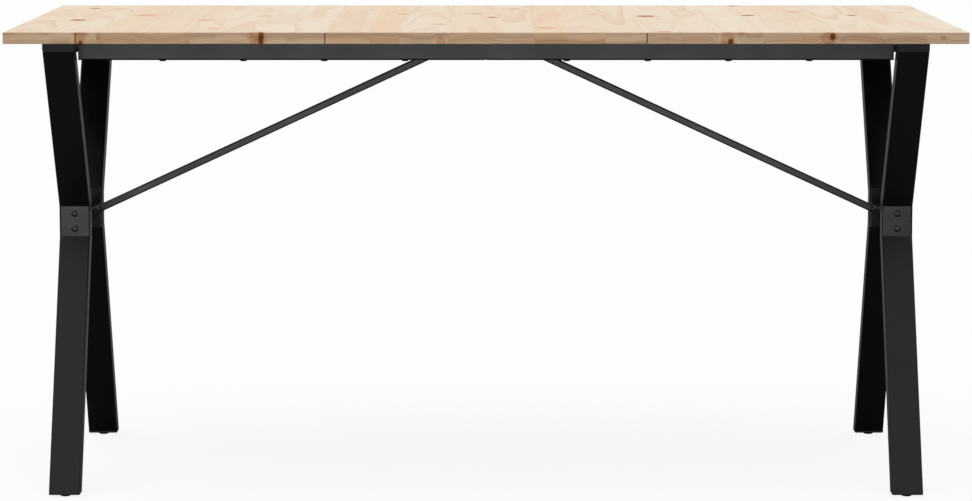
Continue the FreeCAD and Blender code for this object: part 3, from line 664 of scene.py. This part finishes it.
def with_end_grain(tree, wood, years, end_grain):
    """Shade the wood where it shows end grain."""
    drift = add(tree, "TexNoise", {"W": years, "Scale": 1 / RING_DRIFT_YEARS, "Detail": 1.0},
                noise_dimensions="1D")
    shade = add(tree, "ValToRGB", {"Fac": drift}, [
        (0.35, colour(END_GRAIN_DARK)), (0.65, colour(END_GRAIN_LIGHT))])
    shaded = add(tree, "Mix", {"Factor": 1.0, "A": wood, "B": shade}, data_type="RGBA",
                 blend_type="MULTIPLY")
    return add(tree, "Mix", {"Factor": end_grain, "A": wood, "B": shaded}, data_type="RGBA")


print("end grain keeps at least", round(colour(END_GRAIN_DARK)[2], 2), "of the wood's blue")

# %% [markdown]
# The top is sanded and gets one thin coat of matt lacquer. It gives the eye a pale, warm wood with
# hardly any shine. The coat could be a layer of its own, but it is thinner than the grain is deep
# and follows it, so one shader does both: the rings and fibres that colour the wood also set its
# gloss and its relief. Late wood is harder, so it takes a better polish and stands a little proud.
# One fibre is thinner than a hair, so bundles of them are drawn instead.

# %% Lacquered pine
FIBRE_SPAN = (0.9, 45, 0.9)
SPRING_WOOD_ROUGHNESS = 0.74
LATE_WOOD_ROUGHNESS = 0.66
LATE_WOOD_RELIEF = 0.5
GRAIN_DEPTH = 0.06


def pine(name, knots, pale_knots):
    """Pale, warm, almost matt wood with soft rings and with these knots."""
    material, tree = new_material(name)
    place = millimetres(tree)
    uneven = shaken(tree, place)
    reach = knot_distance(tree, uneven, knots)
    pale_reach = knot_distance(tree, uneven, pale_knots)
    nearest = add(tree, "Math", {0: reach, 1: pale_reach}, operation="MINIMUM")
    years = growth_years(tree, place, nearest)
    late = late_wood(tree, years)
    fibre = blotches(tree, place, FIBRE_SPAN)
    end_grain = end_grain_share(tree)
    wood = plain_wood(tree, place, ring_strength(tree, years, late, end_grain), fibre)
    wood = with_pale_knots(tree, wood, pale_reach)
    wood = with_dark_knots(tree, wood, reach, end_grain)
    wood = with_end_grain(tree, wood, years, end_grain)
    rough = add(tree, "MapRange", {
        "Value": late, "To Min": SPRING_WOOD_ROUGHNESS, "To Max": LATE_WOOD_ROUGHNESS})
    relief = add(tree, "Math", {0: late, 1: LATE_WOOD_RELIEF, 2: fibre}, operation="MULTIPLY_ADD")
    bump = add(tree, "Bump", {"Height": relief, "Strength": 0.15, "Distance": mm(GRAIN_DEPTH)})
    lacquer = add(tree, "BsdfPrincipled", {
        "Base Color": wood, "Roughness": rough, "Normal": bump,
        "IOR": 1.5, "Specular IOR Level": 0.1})
    add(tree, "OutputMaterial", {"Surface": lacquer})
    return material


print("bundles of fibres are", FIBRE_SPAN[1], "mm long and", FIBRE_SPAN[0], "mm wide")

# %% [markdown]
# The top is three panels that are butted at two seams. A panel could stay the plain box that CAD
# has, but no joiner leaves a sharp edge. So it starts as a cube that is stretched to the CAD
# panel's box, and a small bevel eases its outer edges, where it catches the light. At a seam the
# edges stay sharp, so that the joint closes.

# %% Panel blanks
PANEL_SIDES = ("left", "centre", "right")
PANEL_EASE = 1.2
PANEL_EASE_SEGMENTS = 3
TOUCH = 0.01


def panel_node(side):
    """The CAD node of a panel."""
    return f"tabletop_panel_{side}"


def is_at(vert, x):
    """Whether a vertex lies in the upright plane at this X."""
    return abs(vert.co.x - x) < mm(TOUCH)


def seams_of(side):
    """The X of each side where a panel meets its neighbour, so not of the table's own ends."""
    sides = [corner.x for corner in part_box(panel_node(side))]
    return [x for x in sides if min(abs(x - end.x) for end in CAD_BOUNDS) > mm(TOUCH)]


def panel_blank(side):
    """The panel's box, with its outer edges eased."""
    low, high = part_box(panel_node(side))
    shape = bmesh.new()
    bmesh.ops.create_cube(shape, size=1)
    bmesh.ops.scale(shape, vec=high - low, verts=shape.verts)
    bmesh.ops.translate(shape, vec=(low + high) / 2, verts=shape.verts)
    outer = [edge for edge in shape.edges
             if not any(all(is_at(vert, seam) for vert in edge.verts) for seam in seams_of(side))]
    bmesh.ops.bevel(shape, geom=outer, offset=mm(PANEL_EASE), offset_type="OFFSET",
                    segments=PANEL_EASE_SEGMENTS, profile=0.5, affect="EDGES", material=-1)
    return shape


for side in PANEL_SIDES:
    print(panel_node(side), "has seams at", [round(in_mm(x)) for x in seams_of(side)], "mm")

# %% [markdown]
# Each panel is glued from eight staves that run from front to back. They could be eight separate
# boards, but glued and sanded they are one flat surface, so planes cut the panel's faces into
# staves and leave it closed. Where two panels meet, a joiner relieves the edge below the surface so
# that the joint closes tightly on top. That leaves the thin dark line on the front edge, which is a
# real gap here and not a painted line.

# %% Staves and seams
STAVE_JOINTS = {
    "left": (70, 145, 205, 290, 330, 390, 440),
    "centre": (70, 115, 190, 265, 325, 375, 435),
    "right": (55, 110, 180, 240, 300, 365, 435),
}
SEAM_RELIEF = 0.8
SEAM_CONTACT = 1.6


def joints_of(side):
    """The X of each glue joint in a panel."""
    left_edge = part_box(panel_node(side))[0].x
    return [left_edge + mm(x) for x in STAVE_JOINTS[side]]


def cut_faces(shape, point, normal):
    """Cut all faces along a plane."""
    everything = shape.verts[:] + shape.edges[:] + shape.faces[:]
    bmesh.ops.bisect_plane(shape, geom=everything, plane_co=point, plane_no=normal)


def relieve_seams(shape, side):
    """Draw a panel's sides in at its seams, below the depth to which they touch."""
    low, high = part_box(panel_node(side))
    cut_faces(shape, (0, 0, high.z - mm(SEAM_CONTACT)), (0, 0, 1))
    for seam in seams_of(side):
        inward = math.copysign(mm(SEAM_RELIEF), (low.x + high.x) / 2 - seam)
        relieved = [vert for vert in shape.verts
                    if is_at(vert, seam) and vert.co.z < high.z - mm(SEAM_CONTACT / 2)]
        bmesh.ops.translate(shape, vec=(inward, 0, 0), verts=relieved)


def stave_panel(side):
    """A panel blank, cut into its staves and relieved at its seams."""
    shape = panel_blank(side)
    for x in joints_of(side):
        cut_faces(shape, (x, 0, 0), (1, 0, 0))
    relieve_seams(shape, side)
    return shape


panel_shapes = {side: stave_panel(side) for side in PANEL_SIDES}
print("faces of each panel", [len(shape.faces) for shape in panel_shapes.values()])

# %% [markdown]
# A stave's figure depends on where it lay in its log: sawn near the heart it shows tight arcs, and
# sawn far out long, almost straight bands. The staves could share one log, but then the rings would
# run on across the glue joints. So each has its own heart, some way above or below the panel, drawn
# from a seeded random number, and its own tone from pale (0) to orange (1). Both are stored on its
# faces, where the pine material reads them.

# %% Logs and tones
LOG_HEART_ASIDE = 8
LOG_HEART_DEPTH = (120, 260)
LOG_LEAN = 0.015
LOG_SEED = 7
STAVE_TONES = {
    "left": (0.5, 0.4, 0.7, 0.6, 0.5, 0.4, 0.2, 0.3),
    "centre": (0.6, 0.9, 0.4, 0.6, 0.4, 0.8, 0.6, 0.5),
    "right": (0.3, 0.4, 0.2, 0.4, 0.6, 0.3, 0.4, 0.1),
}
draw = random.Random(LOG_SEED)


def draw_hearts(side):
    """The log's heart of each stave: its X, its height at the middle, and its climb to the rear."""
    low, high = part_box(panel_node(side))
    edges = [in_mm(x) for x in (low.x, *joints_of(side), high.x)]
    middle = in_mm(low.z + high.z) / 2
    hearts = []
    for start, end in zip(edges, edges[1:]):
        across = (start + end) / 2 + draw.uniform(-LOG_HEART_ASIDE, LOG_HEART_ASIDE)
        level = middle + draw.choice((-1, 1)) * draw.uniform(*LOG_HEART_DEPTH)
        hearts.append((across, level, draw.uniform(-LOG_LEAN, LOG_LEAN)))
    return hearts


def mark_staves(mesh, side):
    """Store the heart and the tone of its stave on each face."""
    hearts = draw_hearts(side)
    joints = joints_of(side)
    staves = [sum(face.center.x > joint for joint in joints) for face in mesh.polygons]
    # A new attribute can move the others in memory, so each is filled before the next is made
    heart = mesh.attributes.new("heart", "FLOAT_VECTOR", "FACE")
    for face, stave in enumerate(staves):
        heart.data[face].vector = hearts[stave]
    tone = mesh.attributes.new("tone", "FLOAT", "FACE")
    for face, stave in enumerate(staves):
        tone.data[face].value = STAVE_TONES[side][stave]


print("staves of each panel", [len(tones) for tones in STAVE_TONES.values()])

# %% [markdown]
# Knots are what the eye remembers of a pine top. They could be scattered at random, but the
# photograph shows where the larger ones are, so they are listed one by one. On the top a knot is
# given by its distance from the table's left edge, its distance from the rear edge, and its half
# width. On the front edge it is given by its distance from the left edge, its height above the
# underside, its half width and its half height.

# %% Where the knots are
KNOTS = {
    "left": [(70, 100, 8), (80, 460, 12)],
    "centre": [(760, 380, 8)],
    "right": [(1018, 345, 14), (1190, 320, 10), (1365, 320, 8), (1185, 20, 8)],
}
PALE_KNOTS = {
    "left": [(180, 320, 14), (288, 460, 11), (320, 700, 7), (380, 340, 8)],
    "centre": [(610, 280, 9), (675, 580, 8), (735, 270, 10), (800, 110, 9), (845, 680, 13),
               (933, 280, 8)],
    "right": [(1028, 780, 10), (1090, 140, 8), (1275, 210, 12), (1390, 540, 6), (1455, 240, 6)],
}
EDGE_KNOTS = {
    "left": [(113, 9, 0.9, 14), (121, 1, 3.5, 5), (401, 8, 4.2, 16)],
    "centre": [],
    "right": [(1129, 3, 4, 6), (1288, 11, 4.5, 6)],
}
PALE_EDGE_KNOTS = {
    "left": [(120, 8, 7, 15), (149, 8, 3, 3), (395, 8, 10, 20)],
    "centre": [(680, 3, 6, 8)],
    "right": [(1125, 8, 9, 11), (1145, 16, 5, 4), (1281, 9, 9, 9), (1460, 9, 4, 3)],
}
KNOT_LENGTH_SHARE = 1.4
KNOT_DEPTH = 60
EDGE_KNOT_DEPTH_SHARE = 2


def knots_of(on_top, on_edge):
    """Middles and radii of these knots in millimetres in the table's frame."""
    low, high = (in_mm(corner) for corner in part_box(panel_node("left")))
    found = []
    for x, y, half_width in on_top:
        radii = (half_width, KNOT_LENGTH_SHARE * half_width, KNOT_DEPTH)
        found.append(((low.x + x, high.y - y, high.z), radii))
    for x, z, half_width, half_height in on_edge:
        radii = (half_width, EDGE_KNOT_DEPTH_SHARE * half_width, half_height)
        found.append(((low.x + x, low.y, low.z + z), radii))
    return found


dark_knots = {side: knots_of(KNOTS[side], EDGE_KNOTS[side]) for side in PANEL_SIDES}
pale_knots = {side: knots_of(PALE_KNOTS[side], PALE_EDGE_KNOTS[side]) for side in PANEL_SIDES}
print("dark knots", [len(knots) for knots in dark_knots.values()],
      "and pale knots", [len(knots) for knots in pale_knots.values()])

# %% [markdown]
# Now the panels come together. They could share one pine, but each has its own knots, so each gets
# its own. A new piece always does two things: it rides on the body that carries it, and it stands
# for a CAD node, which is hidden. One helper does them for the panels and for the fasteners after
# them.


# %% Tabletop panels
def finish_piece(shape, name, body, node):
    """Make a bmesh a piece that rides on a body and stands for a CAD node."""
    bmesh.ops.recalc_face_normals(shape, faces=shape.faces)
    mesh = bpy.data.meshes.new(name)
    shape.to_mesh(mesh)
    shape.free()
    piece = place_in_scene(name, mesh)
    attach(piece, body)
    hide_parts(node)
    print(name, "has", len(mesh.polygons), "faces")
    return piece


for side, shape in panel_shapes.items():
    node = panel_node(side)
    panel = finish_piece(shape, node + "_staves", "table", node)
    mark_staves(panel.data, side)
    panel.data.materials.append(pine(f"lacquered_pine_{side}", dark_knots[side], pale_knots[side]))

# %% [markdown]
# The top is held by wood screws that are driven up through the rails, the crossbar and the top
# bars. Their low heads show under the rails. CAD has them as plain turned shapes, several to a
# node, and this step finds each of them again. Their places could be typed in, but they would be
# wrong as soon as the CAD model changes. So each node's mesh is copied and merged, and the points
# that hang together are one screw.

# %% Where the screws are
SCREW_NODES = ("front_rail_screws", "rear_rail_screws", "top_bar_screws", "crossbar_screws")
MERGE_DISTANCE = 0.001


def separate_solids(node):
    """Boxes of the separate solids in a CAD node, as lowest and highest corners."""
    copy = bmesh.new()
    copy.from_mesh(NODES[node].data)
    bmesh.ops.remove_doubles(copy, verts=copy.verts, dist=mm(MERGE_DISTANCE))
    boxes = []
    for vert in copy.verts:
        if vert.tag:
            continue
        vert.tag = True
        island = [vert]
        # The list grows while it is walked, until no neighbour is new
        for known in island:
            for edge in known.link_edges:
                other = edge.other_vert(known)
                if not other.tag:
                    other.tag = True
                    island.append(other)
        corners = [[point.co[axis] for point in island] for axis in range(3)]
        boxes.append((Vector([min(c) for c in corners]), Vector([max(c) for c in corners])))
    copy.free()
    return boxes


screw_boxes = {node: separate_solids(node) for node in SCREW_NODES}
print("screws in each node", [len(boxes) for boxes in screw_boxes.values()])

# %% [markdown]
# Screws and studs are turned on a lathe. Cylinders and cones could be stacked, but their ends would
# stay inside as hidden faces, so half of the outline is drawn and spun round its axis, as a lathe
# does.

# %% Turned shapes
TURNING_STEPS = 28


def turn(shape, outline):
    """Spin an outline of (radius, height) points in millimetres round the Z axis."""
    verts = [shape.verts.new((mm(radius), 0, mm(height))) for radius, height in outline]
    edges = [shape.edges.new(pair) for pair in zip(verts, verts[1:])]
    bmesh.ops.spin(shape, geom=verts + edges, cent=(0, 0, 0), axis=(0, 0, 1), angle=2 * math.pi,
                   steps=TURNING_STEPS, use_merge=True)
    bmesh.ops.remove_doubles(shape, verts=shape.verts, dist=mm(MERGE_DISTANCE))


print("turned shapes have", TURNING_STEPS, "sides")

# %% [markdown]
# A thread is a ridge that climbs round a core. A bump could draw it, but the outline of the screw
# would stay smooth, so a small profile is spun like the outline, and it climbs by one pitch in each
# turn. Its root is sunk into the core a little, so that no gap shows.

# %% Threads
THREAD_SINK = 0.1
THREAD_ROOT_SHARE = 0.42
THREAD_CREST_SHARE = 0.06


def wind_thread(shape, core, crest, pitch, start, end, steps):
    """Wind a ridge up the Z axis, from one height to another, in so many steps a turn."""
    sunk = core - THREAD_SINK
    root_half = THREAD_ROOT_SHARE * pitch
    crest_half = THREAD_CREST_SHARE * pitch
    corners = [(sunk, -root_half), (crest, -crest_half), (crest, crest_half), (sunk, root_half)]
    verts = [shape.verts.new((mm(radius), 0, mm(start + rise))) for radius, rise in corners]
    ridge = shape.faces.new(verts)
    turns = (end - start) / pitch
    bmesh.ops.spin(shape, geom=[ridge], cent=(0, 0, 0), axis=(0, 0, 1),
                   dvec=(0, 0, mm(pitch / steps)), angle=2 * math.pi * turns,
                   steps=round(turns * steps))


print("a ridge is", 2 * THREAD_ROOT_SHARE, "of the pitch wide at its root")

# %% [markdown]
# The driver's recess is a cross that narrows as it goes in. A Boolean could cut it, but a cross is
# only twelve points: the flat of the head is bridged to them, and their edge is extruded inwards,
# drawn together and closed.

# %% Cross recess
RECESS_ARM = 2.7
RECESS_HALF_WIDTH = 0.6
RECESS_DEPTH = 1.5
RECESS_TAPER = 0.62


def sink_cross(shape, rim):
    """Close the flat of a head, whose rim lies at Z 0, round a cross recess that goes up in it."""
    near, far = mm(RECESS_HALF_WIDTH), mm(RECESS_ARM)
    corners = [(far, near), (near, near), (near, far)]
    points = []
    for quarter in range(4):
        turned = Matrix.Rotation(quarter * math.pi / 2, 2)
        points += [shape.verts.new((*(turned @ Vector(corner)), 0)) for corner in corners]
    cross = [shape.edges.new(pair) for pair in zip(points, points[1:] + points[:1])]
    bmesh.ops.bridge_loops(shape, edges=rim + cross)
    wall = bmesh.ops.extrude_edge_only(shape, edges=cross)["geom"]
    deep = [item for item in wall if isinstance(item, bmesh.types.BMVert)]
    bmesh.ops.translate(shape, vec=(0, 0, mm(RECESS_DEPTH)), verts=deep)
    bmesh.ops.scale(shape, vec=(RECESS_TAPER, RECESS_TAPER, 1), verts=deep)
    bottom = [item for item in wall
              if isinstance(item, bmesh.types.BMEdge) and all(vert in deep for vert in item.verts)]
    bmesh.ops.edgeloop_fill(shape, edges=bottom)


print("the recess is", 2 * RECESS_ARM, "mm across and", RECESS_DEPTH, "mm deep")

# %% [markdown]
# A wood screw has a low rounded head, a plain shank and a coarse thread that ends in a point. The
# screws could be linked copies of one, but a node's screws are one piece, so each is made at the
# origin, moved to its own box and joined with the rest of its node.

# %% Wood screws
SCREW_SHANK = 2.2
SCREW_CORE = 1.55
SCREW_CREST = 2.25
SCREW_RUN_OUT = 1
SCREW_THREAD_PITCH = 2.0
SCREW_THREAD_LENGTH = 23
SCREW_THREAD_STEPS = 12
SCREW_POINT = 5
HEAD_RIM = 0.4
HEAD_ROUNDING = ((0.78, 0.25), (0.93, 0.8), (1, 1.5))
HEAD_RISE = 2.2


def wood_screw(head_radius, length):
    """A screw with its head's flat at the origin and its point up the Z axis."""
    shape = bmesh.new()
    thread_start = length - SCREW_THREAD_LENGTH
    outline = [(RECESS_ARM + HEAD_RIM, 0)]
    outline += [(share * head_radius, rise) for share, rise in HEAD_ROUNDING]
    outline += [(head_radius, HEAD_RISE), (SCREW_SHANK, HEAD_RISE),
                (SCREW_SHANK, thread_start - SCREW_RUN_OUT), (SCREW_CORE, thread_start),
                (SCREW_CORE, length - SCREW_POINT), (0, length)]
    turn(shape, outline)
    sink_cross(shape, [edge for edge in shape.edges if edge.is_boundary])
    wind_thread(shape, SCREW_CORE, SCREW_CREST, SCREW_THREAD_PITCH, thread_start + SCREW_RUN_OUT,
                length - SCREW_POINT, SCREW_THREAD_STEPS)
    return shape


def move_onto(shape, low, high):
    """Move a shape that was turned about the Z axis onto the floor of its box."""
    middle = (low + high) / 2
    bmesh.ops.translate(shape, vec=(middle.x, middle.y, low.z), verts=shape.verts)


screws = []
for node, boxes in screw_boxes.items():
    together = bmesh.new()
    for low, high in boxes:
        one = wood_screw(in_mm(high.x - low.x) / 2, in_mm(high.z - low.z))
        move_onto(one, low, high)
        scratch = bpy.data.meshes.new("one_screw")
        one.to_mesh(scratch)
        one.free()
        together.from_mesh(scratch)
        bpy.data.meshes.remove(scratch)
    screws.append(finish_piece(together, node + "_crosshead", "table", node))

# %% [markdown]
# Each foot turns on a zinc-plated stud with a metric thread of 1.25 mm pitch. CAD has it as a plain
# rod, which would do while the foot is wound in. Its thread shows when the foot is wound out on an
# uneven floor, so it is turned and wound in the same way as the screws.

# %% Glide studs
STUD_PITCH = 1.25
STUD_CORE = 3.3
STUD_CHAMFER = 0.8

studs = []
for corner in ("front_left", "front_right", "rear_left", "rear_right"):
    node = f"{corner}_glide_stud"
    low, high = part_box(node)
    crest = in_mm(high.x - low.x) / 2
    length = in_mm(high.z - low.z)
    end = length - STUD_CHAMFER
    chamfered = STUD_CORE - STUD_CHAMFER
    shape = bmesh.new()
    turn(shape, [(0, 0), (chamfered, 0), (STUD_CORE, STUD_CHAMFER), (STUD_CORE, end),
                 (chamfered, length), (0, length)])
    wind_thread(shape, STUD_CORE, crest, STUD_PITCH, STUD_CHAMFER, end, TURNING_STEPS)
    move_onto(shape, low, high)
    body = f"{corner}_glide"
    studs.append(finish_piece(shape, node + "_threaded", body, node))

# %% [markdown]
# The CAD pieces that keep their own shape get their finish now. They could be listed by name, but
# the record already gives each a material slot, and by following it no piece is forgotten and every
# leg shares one coat. The new fasteners take theirs from the same list.

# %% Finishes on the CAD pieces
dressed = 0
for subpart in frame["record"]["subparts"]:
    finish = FINISHES.get(subpart["material_slot"])
    if finish:
        surface = NODES[subpart["node"]].data.materials
        surface.clear()
        surface.append(finish)
        dressed += 1
for pieces, slot in ((screws, "black_oxide_steel"), (studs, "zinc_plated_steel")):
    for piece in pieces:
        piece.data.materials.append(FINISHES[slot])
print("finished CAD pieces:", dressed, "and new fasteners:", len(screws) + len(studs))
